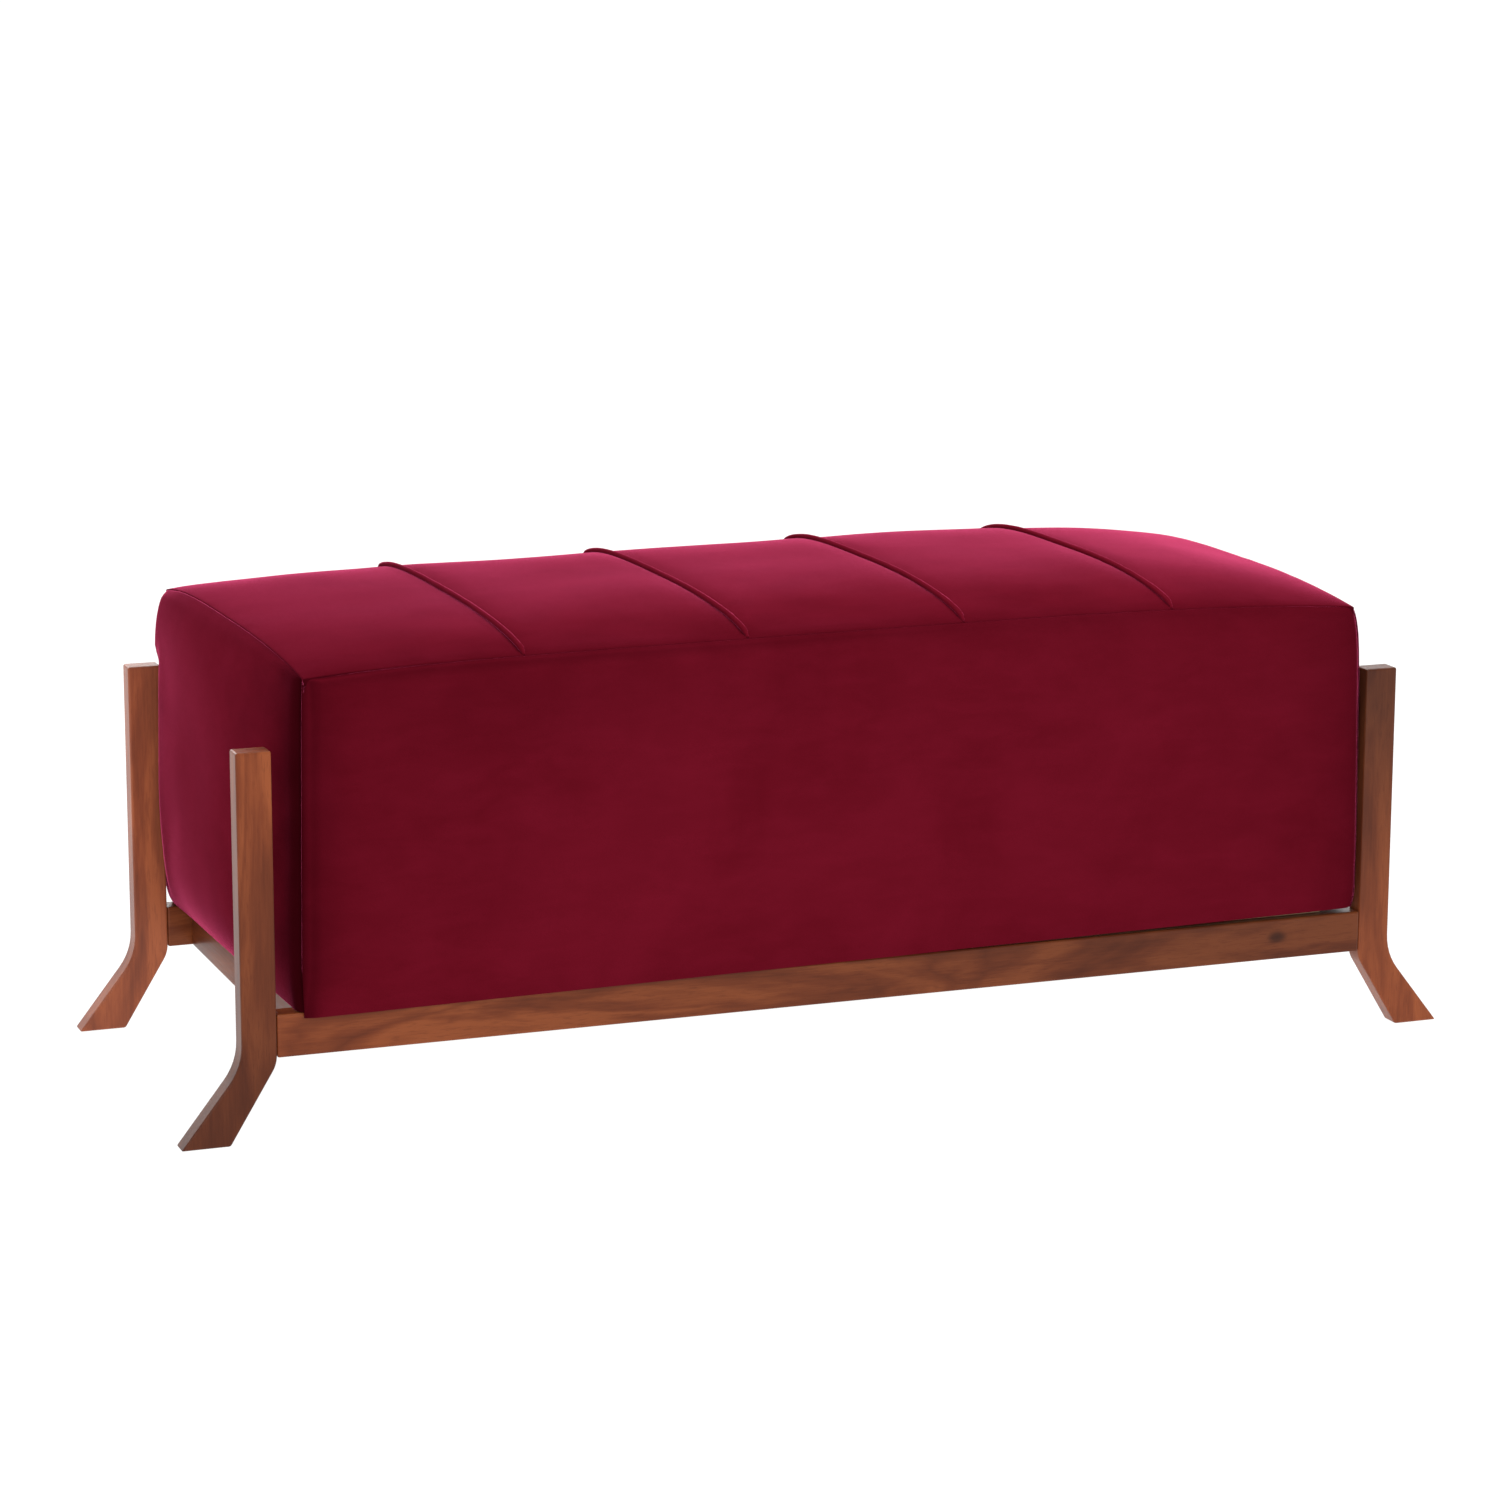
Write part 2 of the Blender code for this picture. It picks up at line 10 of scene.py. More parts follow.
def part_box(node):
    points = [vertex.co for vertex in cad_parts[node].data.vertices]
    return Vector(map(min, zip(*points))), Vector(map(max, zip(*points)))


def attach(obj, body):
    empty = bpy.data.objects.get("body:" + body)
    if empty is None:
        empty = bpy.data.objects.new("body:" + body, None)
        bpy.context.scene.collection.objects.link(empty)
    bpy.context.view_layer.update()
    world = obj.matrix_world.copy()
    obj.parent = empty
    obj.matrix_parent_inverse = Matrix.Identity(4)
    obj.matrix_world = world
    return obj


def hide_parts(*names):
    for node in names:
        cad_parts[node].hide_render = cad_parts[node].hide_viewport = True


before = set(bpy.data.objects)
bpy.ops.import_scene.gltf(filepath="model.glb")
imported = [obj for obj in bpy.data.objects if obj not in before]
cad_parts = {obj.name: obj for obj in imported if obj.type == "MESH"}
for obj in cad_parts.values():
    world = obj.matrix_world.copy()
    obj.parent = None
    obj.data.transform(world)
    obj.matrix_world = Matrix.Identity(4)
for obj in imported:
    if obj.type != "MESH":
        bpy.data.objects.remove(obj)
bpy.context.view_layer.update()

MM = 0.001
GENTLE_TURN = cos(radians(20))

# Places taken from the frame
SEAT_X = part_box("front_cover")[1][0]
SEAT_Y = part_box("top_cover_1")[1][1]
RAIL_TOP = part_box("front_rail")[1][2]
LEG_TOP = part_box("leg_front_left")[1][2]
LEG_INNER_X = -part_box("leg_front_left")[1][0]
LEG_INNER_Y = -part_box("leg_front_left")[1][1]
COVER_GAP = 1.8 * MM                     # from the top seam down to the top of a side cover
FRONT_SEAM_RISE = 12 * MM
END_SEAM_RISE = 11 * MM
CORNER_SEAM_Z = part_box("front_cover")[1][2] + COVER_GAP - FRONT_SEAM_RISE
WELT_RADIUS = 2.8 * MM
WELT_FRONT_X = [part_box(f"welt_{number}")[1][0] - WELT_RADIUS for number in (1, 2, 3, 4)]
WELT_BACK_X = [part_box(f"welt_{number}")[0][0] + WELT_RADIUS for number in (1, 2, 3, 4)]

# The seat's shape: a hand-sewn cover is never quite symmetric
CROWN = 21 * MM
CROWN_TILT = 7 * MM                      # the crown is this much higher at the right end than in the middle
CROWN_ROUNDNESS = 0.6                    # from front to back, and from end to end
CROWN_END_ROUNDNESS = 0.77
LEFT_FULLNESS = 5.9                      # how square the crown's shoulder is towards each end
RIGHT_FULLNESS = 3.4
FRONT_FULLNESS = 2.3                     # and towards the front and the back
BACK_FULLNESS = 4.0
BACK_LEFT_RISE = 8 * MM
FRONT_SEAM_SAG = 5.5 * MM                # the front seam arches up less towards its left end
# How far each vertical seam stands outside the seat's half length: at its top, its bottom and in its bow
CORNER_OUT = {
    ("front", -1): (-8.0 * MM, -2.0 * MM, 0.5 * MM),
    ("front", 1): (5.5 * MM, 11.0 * MM, 8.0 * MM),
    ("back", -1): (10.0 * MM, 8.0 * MM, 11.0 * MM),
    ("back", 1): (1.0 * MM, 1.0 * MM, 5.0 * MM),
}
END_BULGE = 16 * MM                      # between the corners
LEG_CLEARANCE = 0.8 * MM                 # the seat presses up to the legs, and bulges above and between them
LEG_PASS_OUT = 60 * MM                   # how far out the limit moves where there is no leg
LEG_PASS_START = 4 * MM                  # it starts to move this far below a leg's top
LEG_PASS_HEIGHT = 60 * MM                # and takes this height to do it
LEG_PASS_SIDE = 2 * MM                   # or, between two legs, it starts this far from a leg's inner face
LEG_PASS_WIDTH = 50 * MM
LEG_BLEND = 5 * MM                       # how softly the shape gives way to the limit
CLOTH_BLEND = 2 * MM                     # and how softly the finished cloth does
SIDE_BULGE = 2.5 * MM
UPRIGHT_EDGE_RADIUS = 17 * MM            # the rounding that each seam lies in the middle of
TOP_EDGE_RADIUS = 12 * MM
HEM_MIDDLE = 1.0 * MM                    # the front hem over the rail's top, and its slope to either end
HEM_SLOPE = 5.0 * MM
HEM_PROUD_LEFT = 4.0 * MM
HEM_PROUD_RIGHT = 1.0 * MM
HEM_SQUARE = 0.12                        # the share of the height over which a corner grows square to its hem
FRAME_CLEARANCE = 0.5 * MM               # left between the cover and the wood

KNOT_FROM_END = 88 * MM                  # a small knot in the front rail
KNOT_HEIGHT = 22 * MM
KNOT_SQUASH = (0.6, 0.5, 1.0)            # it is longer along the grain
KNOT_CORE = 0.0028                       # its dark middle, and where it has faded out
KNOT_EDGE = 0.0085
KNOT_DARKNESS = 0.35

# Seams
SEAM_ROLL = 1.6 * MM                     # radius of the rounded edge beside a seam
SEAM_PINCH = 1.1 * MM                    # how far a seam pulls the padding in around it
SEAM_PINCH_REACH = 9 * MM
PUCKER = 0.22 * MM
PUCKER_REACH = 10 * MM
PUCKER_LENGTH = 13 * MM
SEAM_LINE = 0.9                          # painted shadow in a seam's groove, drawn as a dark line
SEAM_LINE_WIDTH = 1.7 * MM
SEAM_ALLOWANCE = 6 * MM                  # turned in behind each seam
# The front and back top seams show at their ends, and hardly in between
LONG_SEAM_FAINTEST = 0.03
LONG_SEAM_LEFT = (0.97, 0.085)           # how plainly, and the length over which it fades
LONG_SEAM_RIGHT = (0.6, 0.035)
LONG_SEAM_GROOVE = 0.7

# The cloth
WAVE = 0.7 * MM                          # low waves over the panels
WAVE_LENGTH = 0.085
WAVE_REACH = 25 * MM                     # they fade out this close to a seam
PATCH_LENGTH = 0.03                      # of the uneven darkening beside a seam: partly crushed pile, partly painted shade
CLOTH_STEP = 7 * MM
CLOTH_THICKNESS = 1.2 * MM
ROLL_STATIONS = [0, 0.4 * MM, 1.0 * MM, 1.7 * MM, 2.6 * MM, 4.2 * MM, 7 * MM, 11 * MM, 16 * MM]
TOP_ROLL = 30 * MM                       # how much longer the top's cloth is than the seat is deep

# The welts
WELT_SIDES = 14
WELT_STATIONS = 90
WELT_REACH = 0.993                       # how much of the seat's depth a welt crosses
WELT_LIFT = 1.3 * MM
WELT_END_DROP = 2.0 * MM                 # it sinks into the seam at each end
WELT_DROP_SHARE = 0.04
WELT_TAPER_SHARE = 0.05
WELT_UNEVENNESS = 0.07
WELT_UNEVENNESS_LENGTH = 0.02
WELT_WANDER = 0.4 * MM
WELT_WANDER_LENGTH = 0.05

# The dust cover
DUST_CLOTH_THICKNESS = 0.4 * MM
DUST_CLOTH_ROOM = 4 * MM                 # left around each corner block
DUST_CLOTH_SAG = 0.6 * MM
DUST_CLOTH_SAG_LENGTH = 0.12
DUST_CLOTH_STATIONS = (121, 49)

# The cloth simulation that settles each panel over its padding
SIMULATION_STEP = 8 * MM
SETTLING_FRAMES = 20
SETTLING_ROOM = 3 * MM                   # the panel starts this far inside its shape
SETTLING_LIMIT = 3 * MM                  # and ends no further than this from it
IRONING = 5                              # passes that smooth the smallest ripples out
CLOTH_EASE = 0.001                       # how much larger the cloth is cut than the shape
TOP_PRESSURE = 3.0                       # from the deep pad under the top
SIDE_PRESSURE = 0.3                      # from the thin pads on the boards around it
CLOTH_QUALITY = 6
CLOTH_MASS = 0.25
CLOTH_BENDING = 0.6

# The studio
CAMERA_LENS = 106.58
CAMERA_PLACE = (-1.4851, -3.8884, 1.1716)
CAMERA_HEADING = -20.7775                # degrees
CAMERA_DOWN = 12.2037
CAMERA_ROLL = 0.158
# Name, place, target, size in metres and power in watts
LIGHTS = (
    ("front", (-0.9, -2.5, 1.1), (-0.2, 0, 0.25), (1.8, 1.0), 32),
    ("left", (-1.9, 2.1, 1.2), (-0.5, 0, 0.3), (0.9, 0.9), 18),
    ("back", (0.4, 2.8, 1.5), (0.2, 0, 0.45), (3.2, 1.0), 31),
    ("top", (1.0, 0.1, 2.5), (0.4, 0, 0.45), (1.6, 1.0), 38),
)
TOWARDS_BACK = (0.5, 0.866, 0)           # from the camera's side to the white wall
ROOM_BRIGHTNESS = 0.28
WALL_BRIGHTNESS = 1.02
FLOOR_HALF = 40.0


# --- materials ---------------------------------------------------------------------------------------------

class Nodes:
    """A short way to write a material's nodes."""

    def __init__(self, name):
        self.material = bpy.data.materials.new(name)
        self.material.use_nodes = True
        self.tree = self.material.node_tree
        self.shader = self.tree.nodes["Principled BSDF"]

    def add(self, kind, settings=None, **inputs):
        item = self.tree.nodes.new(kind)
        for key, value in (settings or {}).items():
            setattr(item, key, value)
        for key, value in inputs.items():
            self.set(item, key.replace("_", " "), value)
        return item

    def set(self, item, key, value):
        socket = item.inputs[int(key)] if key.isdigit() else item.inputs[key]
        if isinstance(value, bpy.types.NodeSocket):
            self.tree.links.new(value, socket)
        elif isinstance(value, tuple) and len(value) == 3 and socket.type == "RGBA":
            socket.default_value = (*value, 1.0)
        else:
            socket.default_value = value

    def place(self, scale):
        coordinates = self.add("ShaderNodeTexCoord").outputs["Object"]
        return self.add("ShaderNodeMapping", Vector=coordinates, Scale=scale).outputs["Vector"]

    def noise(self, vector, scale, detail=3.0, roughness=0.5, distortion=0.0):
        return self.add("ShaderNodeTexNoise", Vector=vector, Scale=scale, Detail=detail, Roughness=roughness,
                        Distortion=distortion).outputs["Fac"]

    def ramp(self, fac, *stops):
        """Colours or grey levels over fac, as (position, value) stops."""
        item = self.add("ShaderNodeValToRGB", Fac=fac)
        elements = item.color_ramp.elements
        while len(elements) < len(stops):
            elements.new(0.5)
        for element, (position, value) in zip(elements, stops):
            element.position = position
            element.color = (*value, 1.0) if isinstance(value, tuple) else (value, value, value, 1.0)
        return item.outputs["Color"]

    def mix(self, fac, a, b, blend="MIX"):
        item = self.add("ShaderNodeMix", {"data_type": "RGBA", "blend_type": blend})
        self.set(item, "0", fac)
        self.set(item, "6", a)
        self.set(item, "7", b)
        return item.outputs[2]

    def math(self, operation, a, b):
        item = self.add("ShaderNodeMath", {"operation": operation})
        self.set(item, "0", a)
        self.set(item, "1", b)
        return item.outputs[0]

    def bump(self, height, strength, distance, normal=None):
        item = self.add("ShaderNodeBump", Height=height, Strength=strength, Distance=distance)
        if normal:
            self.set(item, "Normal", normal)
        return item.outputs["Normal"]

    def finish(self, **inputs):
        for key, value in inputs.items():
            self.set(self.shader, key.replace("_", " "), value)
        return self.material


GRAIN_TURNS = {"X": (0, pi / 2, 0), "Y": (pi / 2, 0, 0), "Z": (0, 0, 0)}
PAINTED_LIGHT_RUN = {"X": ("X", -SEAT_X, SEAT_X), "Y": ("Z", 0, LEG_TOP), "Z": ("Z", 0, LEG_TOP)}


def wood(name, grain, dark, middle, light, coat, shift=0.0, knot=None, painted_light=(1.0, 1.0), figure=0.18,
         painted_reflection=0.0):
    """Wood with its grain along one axis: a faint flame figure, blotchy staining, fibres, flecks and pores.

    It is varnished where coat is over 0. knot is the place of a small knot, and painted_light is painted
    light
    and shade: how much lighter or darker the wood is painted at the left end and the right end of a rail, or
    at the bottom and the top of a leg. painted_reflection is a pale grey added over the colour, a painted
    reflection of the white room in the varnish.
    """
    n = Nodes(name)
    object_space = n.add("ShaderNodeTexCoord").outputs["Object"]
    at = n.add("ShaderNodeMapping", Vector=object_space, Rotation=GRAIN_TURNS[grain],
               Location=(shift, shift * 0.7, shift * 1.3)).outputs["Vector"]
    stretched = n.add("ShaderNodeMapping", Vector=at, Scale=(1.0, 1.0, 0.16)).outputs["Vector"]
    fibre_space = n.add("ShaderNodeMapping", Vector=at, Scale=(1.0, 1.0, 0.03)).outputs["Vector"]
    fleck_space = n.add("ShaderNodeMapping", Vector=at, Scale=(1.0, 1.0, 0.12)).outputs["Vector"]
    flame = n.noise(stretched, 17.0, 3.0, 0.5, 2.2)
    flame = n.math("PINGPONG", n.math("MULTIPLY", flame, 5.0), 1.0)
    blotches = n.noise(stretched, 30.0, 4.0, 0.6, 0.4)
    fibres = n.noise(fibre_space, 520.0, 4.0, 0.65)
    flecks = n.noise(fleck_space, 620.0, 2.0, 0.5)
    pores = n.noise(fibre_space, 1500.0, 2.0, 0.5)
    tone = n.math("ADD", n.math("MULTIPLY", flame, figure), n.math("MULTIPLY", blotches, 0.62))
    tone = n.math("ADD", tone, n.math("MULTIPLY", fibres, 0.22))
    colour = n.ramp(tone, (0.34, dark), (0.50, middle), (0.66, light))
    colour = n.mix(n.ramp(flecks, (0.58, 0.0), (0.66, 0.30)), colour, dark)
    pore_mask = n.ramp(pores, (0.30, 1.0), (0.40, 0.0))
    colour = n.mix(n.math("MULTIPLY", pore_mask, 0.35), colour, dark)
    if knot:
        rings = n.add("ShaderNodeVectorMath", {"operation": "DISTANCE"})
        squashed = n.add("ShaderNodeMapping", Vector=object_space, Scale=KNOT_SQUASH).outputs["Vector"]
        n.set(rings, "0", squashed)
        n.set(rings, "1", tuple(part * share for part, share in zip(knot, KNOT_SQUASH)))
        away = n.math("ADD", rings.outputs["Value"], n.math("MULTIPLY", fibres, 1.2 * MM))
        knot_colour = tuple(part * KNOT_DARKNESS for part in dark)
        colour = n.mix(n.ramp(away, (KNOT_CORE, 0.92), (KNOT_EDGE, 0.0)), colour, knot_colour)
    # Painted light and shade: the colour is multiplied by a ramp from one end of the part to the other
    axis, start, end = PAINTED_LIGHT_RUN[grain]
    along = n.add("ShaderNodeSeparateXYZ", {}, Vector=object_space).outputs[axis]
    share = n.math("DIVIDE", n.math("SUBTRACT", along, start), end - start)
    painted_light_ramp = n.ramp(share, (0.1, painted_light[0] / 2), (0.9, painted_light[1] / 2))
    colour = n.mix(1.0, colour, n.mix(1.0, painted_light_ramp, (2, 2, 2), "MULTIPLY"), "MULTIPLY")
    # Painted reflection: a pale grey added over the colour, for the white room seen in the varnish
    colour = n.mix(1.0, colour, (painted_reflection, painted_reflection, painted_reflection), "ADD")
    height = n.math("SUBTRACT", fibres, n.math("MULTIPLY", pore_mask, 0.5))
    gloss = n.ramp(fibres, (0.25, 0.34 if coat else 0.55), (0.8, 0.50 if coat else 0.75))
    return n.finish(Base_Color=colour, Roughness=gloss, Specular_IOR_Level=0.1, Coat_Weight=coat,
                    Coat_Roughness=0.20, Coat_IOR=1.28, Normal=n.bump(height, 0.18, 0.12 * MM))


def velvet():
    """Short-pile velvet: deep crimson, a pale sheen at grazing angles and a mottled nap."""
    n = Nodes("velvet")
    at = n.place((1, 1, 1))
    nap = n.noise(at, 7.0, 4.0, 0.6, 0.8)
    brushed = n.noise(n.place((0.5, 1.0, 1.6)), 38.0, 3.0, 0.6, 0.5)
    pile = n.noise(at, 1900.0, 2.0, 0.6)
    tufts = n.noise(at, 520.0, 2.0, 0.55)
    colour = n.ramp(nap, (0.30, (0.118, 0.0040, 0.0112)), (0.72, (0.150, 0.0056, 0.0160)))
    colour = n.mix(n.ramp(brushed, (0.40, 0.0), (0.70, 0.30)), colour, (0.175, 0.0070, 0.0205))
    colour = n.mix(n.ramp(pile, (0.35, 0.35), (0.62, 0.0)), colour, (0.070, 0.0020, 0.0060))
    # Painted shade: the base colour darkens where the surface turns edge-on to the view, at the silhouettes
    facing = n.add("ShaderNodeLayerWeight", Blend=0.5).outputs["Facing"]
    colour = n.mix(n.ramp(facing, (0.02, 0.45), (0.085, 0.0)), colour, (0.040, 0.0011, 0.0034))
    # Darker beside the seams from the panels' seam_shade: painted shadow in the grooves, and beside them
    # partly crushed pile, partly painted shade
    crushed_pile_and_painted_shade = n.add("ShaderNodeAttribute", {"attribute_name": "seam_shade"}).outputs["Fac"]
    colour = n.mix(crushed_pile_and_painted_shade, colour, (0.012, 0.0003, 0.0010))
    height = n.math("ADD", n.math("MULTIPLY", pile, 0.7), n.math("MULTIPLY", tufts, 0.5))
    soft = n.bump(brushed, 0.10, 0.6 * MM)
    return n.finish(Base_Color=colour, Roughness=n.ramp(tufts, (0.3, 0.78), (0.7, 0.95)),
                    Specular_IOR_Level=0.0, IOR=1.02,
                    Sheen_Weight=1.0, Sheen_Roughness=0.205, Sheen_Tint=(1.0, 0.12, 0.30),
                    Normal=n.bump(height, 0.35, 0.35 * MM, soft))


def dust_cloth():
    """Black spun-bonded cloth with its small round bond marks."""
    n = Nodes("dust_cloth")
    at = n.place((1, 1, 1))
    strands = n.noise(at, 700.0, 4.0, 0.7, 1.5)
    marks = n.add("ShaderNodeTexVoronoi", Vector=at, Scale=420.0, Randomness=0.25).outputs["Distance"]
    colour = n.ramp(strands, (0.3, (0.010, 0.010, 0.011)), (0.75, (0.045, 0.044, 0.046)))
    height = n.math("ADD", strands, n.ramp(marks, (0.15, 0.0), (0.35, 0.6)))
    return n.finish(Base_Color=colour, Roughness=n.ramp(strands, (0.3, 0.8), (0.7, 0.95)),
                    Normal=n.bump(height, 0.4, 0.2 * MM))


def screw_steel():
    n = Nodes("zinc_plate")
    at = n.place((1, 1, 1))
    scratches = n.noise(n.place((1, 1, 0.1)), 2500.0, 3.0)
    colour = n.ramp(n.noise(at, 300.0), (0.3, (0.52, 0.50, 0.44)), (0.7, (0.72, 0.71, 0.68)))
    return n.finish(Base_Color=colour, Metallic=1.0, Roughness=n.ramp(scratches, (0.3, 0.25), (0.7, 0.45)),
                    Normal=n.bump(scratches, 0.15, 0.05 * MM))


def plywood():
    """Raw plywood: pale faces, and layers in turn dark and light on its edges."""
    n = Nodes("plywood")
    at = n.place((1, 1, 1))
    layers = n.add("ShaderNodeTexWave", {"bands_direction": "Z"}, Vector=at, Scale=130.0, Distortion=0.6,
                   Detail=2.0)
    fibres = n.noise(n.place((0.04, 1, 1)), 300.0, 4.0, 0.6)
    colour = n.ramp(fibres, (0.3, (0.42, 0.29, 0.16)), (0.7, (0.62, 0.46, 0.28)))
    colour = n.mix(n.math("MULTIPLY", layers.outputs["Fac"], 0.35), colour, (0.30, 0.19, 0.10))
    return n.finish(Base_Color=colour, Roughness=n.ramp(fibres, (0.3, 0.6), (0.7, 0.8)),
                    Normal=n.bump(fibres, 0.3, 0.2 * MM))


def paint(node, material):
    """Gives a CAD node its material."""
    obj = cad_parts[node]
    obj.data.materials.clear()
    obj.data.materials.append(material)
    return obj


def dress_frame():
    """Materials for the CAD nodes that show as they are, and for those that are hidden inside the seat."""
    walnut_tones = ((0.104, 0.020, 0.005), (0.160, 0.034, 0.009), (0.232, 0.057, 0.016))
    beech_tones = ((0.30, 0.17, 0.08), (0.48, 0.31, 0.17), (0.62, 0.45, 0.28))
    back_rail = wood("varnished_walnut_back_rail", "X", *walnut_tones, 0.5, shift=0.31)
    end_rail = wood("varnished_walnut_end_rail", "Y", *walnut_tones, 0.35, shift=0.47, painted_light=(0.84, 0.84))
    # Each leg: its shift, painted light and shade at its foot and its top, and its painted reflection; the
    # back-left leg is painted lighter, for the light that the seat keeps off it
    leg_painted_light = (("front_left", 0.83, (0.56, 1.22), 0.002), ("front_right", 1.57, (1.45, 0.50), 0.006),
                  ("back_left", 2.41, (1.80, 1.80), 0.022), ("back_right", 3.29, (1.0, 1.0), 0.0))
    legs = {f"leg_{corner}": wood(f"varnished_walnut_leg_{corner}", "Z", *walnut_tones, 0.38, shift=shift,
                                  painted_light=painted_light, painted_reflection=painted_reflection)
            for corner, shift, painted_light, painted_reflection in leg_painted_light}
    rail_low, rail_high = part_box("front_rail")
    knot = (rail_high[0] - KNOT_FROM_END, rail_low[1], rail_low[2] + KNOT_HEIGHT)
    # The front rail is painted lighter at its left end and darker at its right, for light falling from the
    # left
    front_rail = wood("varnished_walnut_front_rail", "X", *walnut_tones, 0.5, shift=0.12, knot=knot,
                      painted_light=(1.08, 0.70), figure=0.30)
    beech = wood("beech", "Y", *beech_tones, 0.0)
    boards = plywood()
    steel = screw_steel()
    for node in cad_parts:
        if node.startswith(("leg_dowel", "rail_dowel", "corner_block")):
            paint(node, beech)
        elif node in legs:
            polish(paint(node, legs[node]))
        elif node == "front_rail":
            polish(paint(node, front_rail))
        elif node == "back_rail":
            polish(paint(node, back_rail))
        elif node.endswith("end_rail"):
            polish(paint(node, end_rail))
        elif node.startswith("seat_screw"):
            polish(paint(node, steel))
        elif node.endswith(("_panel", "_board", "_deck", "_rib")):
            paint(node, boards)


def polish(obj):
    """Smooth shading over gentle turns only, such as a knee: flat faces and eased edges stay crisp."""
    mesh = obj.data
    mesh.shade_smooth()
    beside = {}
    corners = [(polygon, tuple(round(part, 5) for part in mesh.vertices[vertex].co))
               for polygon in mesh.polygons for vertex in polygon.vertices]
    for polygon, place in corners:
        beside.setdefault(place, []).append(polygon)
    normals = []
    for polygon, place in corners:
        gentle = [other for other in beside[place] if other.normal.dot(polygon.normal) > GENTLE_TURN]
        normals.append(sum((other.normal * other.area for other in gentle), Vector()).normalized())
    mesh.normals_split_custom_set(normals)


# --- the seat's shape --------------------------------------------------------------------------------------

def swell(s, power=4.0):
    return np.clip(1 - np.abs(s) ** power, 0, 1)


def shoulder(distance, radius):
    """From 0 at a seam to 1 where the rounded edge that it lies in has turned into the flat of the panel."""
    turn = np.clip(np.sqrt(0.5) - distance / radius, 0, None)
    return (np.sqrt(1 - turn ** 2) - np.sqrt(0.5)) / (1 - np.sqrt(0.5))


def edge_depth(radius):
    """How far a panel stands outside a seam that lies in the middle of a rounded edge."""
    return radius * (1 - np.sqrt(0.5))


def corners_out(v):
    """How far the left and right ends of the seat's top stand out, on the line across it at v."""
    share_back = (1 + v) / 2
    left = CORNER_OUT["front", -1][0] * (1 - share_back) + CORNER_OUT["back", -1][0] * share_back
    right = CORNER_OUT["front", 1][0] * (1 - share_back) + CORNER_OUT["back", 1][0] * share_back
    return left, right


def seat_u(x, v):
    """The place u along the seat of a point at x, on the line across it at v."""
    out_left, out_right = corners_out(v)
    return (x - (out_right - out_left) / 2) / (SEAT_X + (out_right + out_left) / 2)


def welt_u(number, v):
    """The place along the seat of a welt, counted from 1, on the line across it at v."""
    share_back = (1 + v) / 2
    x = WELT_FRONT_X[number - 1] * (1 - share_back) + WELT_BACK_X[number - 1] * share_back
    return seat_u(x, v)


def top_point(u, v):
    """The cover's top at u along the seat and v across it, both from -1 to 1."""
    share_right = (1 + u) / 2
    share_back = (1 + v) / 2
    out_left, out_right = corners_out(v)
    along = swell(u, np.where(u < 0, LEFT_FULLNESS, RIGHT_FULLNESS))
    across = swell(v, np.where(v < 0, FRONT_FULLNESS, BACK_FULLNESS))
    z = CORNER_SEAM_Z + FRONT_SEAM_RISE * along + END_SEAM_RISE * across * (1 - along)
    z = z - FRONT_SEAM_SAG * (1 - share_right) * (1 - share_back) ** 2 * along
    z = z + (CROWN + CROWN_TILT * u) * across ** CROWN_ROUNDNESS * along ** CROWN_END_ROUNDNESS
    z = z + BACK_LEFT_RISE * np.clip(-u, 0, 1) ** 4 * share_back
    x = u * SEAT_X + out_right * share_right - out_left * (1 - share_right)
    return np.stack([x, v * SEAT_Y, z], -1)


def corner_x(side, end, w):
    """A vertical seam's distance from the middle, at w from -1 at the hem to 1 at the top seam."""
    top, bottom, bow = CORNER_OUT[side, end]
    return SEAT_X + bottom + (top - bottom) * (w + 1) / 2 + bow * swell(w, 8)


def hem_height(u):
    return RAIL_TOP + HEM_MIDDLE + HEM_SLOPE * u


def edge_shoulders(s, length, w, height):
    """The roundings beside a panel's two vertical seams and beside its top seam, each from 0 to 1."""
    upright = shoulder((1 - np.abs(s)) * length / 2, UPRIGHT_EDGE_RADIUS)
    upper = shoulder((1 - w) / 2 * height, TOP_EDGE_RADIUS)
    return upright, upper


def leg_limit(y, z):
    """How far out the seat's end may reach: up to the legs beside them, and freely above and between them."""
    above = np.clip((z - LEG_TOP + LEG_PASS_START) / LEG_PASS_HEIGHT, 0, 1) ** 2
    between = np.clip((LEG_INNER_Y - LEG_PASS_SIDE - np.abs(y)) / LEG_PASS_WIDTH, 0, 1)
    return LEG_INNER_X - LEG_CLEARANCE + LEG_PASS_OUT * np.maximum(above, between)


def soft_minimum(a, b, blend):
    """The smaller of two numbers, with a rounded change from one to the other."""
    share = np.clip(0.5 + (b - a) / (2 * blend), 0, 1)
    return b + (a - b) * share - blend * share * (1 - share)


def side_point(side, u, w):
    """The front or back cover, at u along the seat and w up from the hem."""
    y_sign = -1 if side == "front" else 1
    seam = top_point(u, y_sign * np.ones_like(u))
    share_right = (1 + u) / 2
    share_up = (1 + w) / 2
    z = hem_height(u) + (seam[..., 2] - hem_height(u)) * share_up
    limit = leg_limit(SEAT_Y, z)
    right = soft_minimum(corner_x(side, 1, w), limit, LEG_BLEND)
    left = soft_minimum(corner_x(side, -1, w), limit, LEG_BLEND)
    x = right * share_right - left * (1 - share_right)
    upright, upper = edge_shoulders(u, 2 * SEAT_X, w, seam[..., 2] - hem_height(u))
    proud = (HEM_PROUD_LEFT * (1 - share_right) + HEM_PROUD_RIGHT * share_right) * (1 - share_up) ** 2
    rounding = np.clip(share_up / HEM_SQUARE, 0, 1)
    y = SEAT_Y + proud + SIDE_BULGE * swell(u) * swell(w)
    y = y + edge_depth(UPRIGHT_EDGE_RADIUS) * (upright - 1) * rounding
    y = y + edge_depth(TOP_EDGE_RADIUS) * upright * upper
    return np.stack([x, y_sign * y, z], -1)


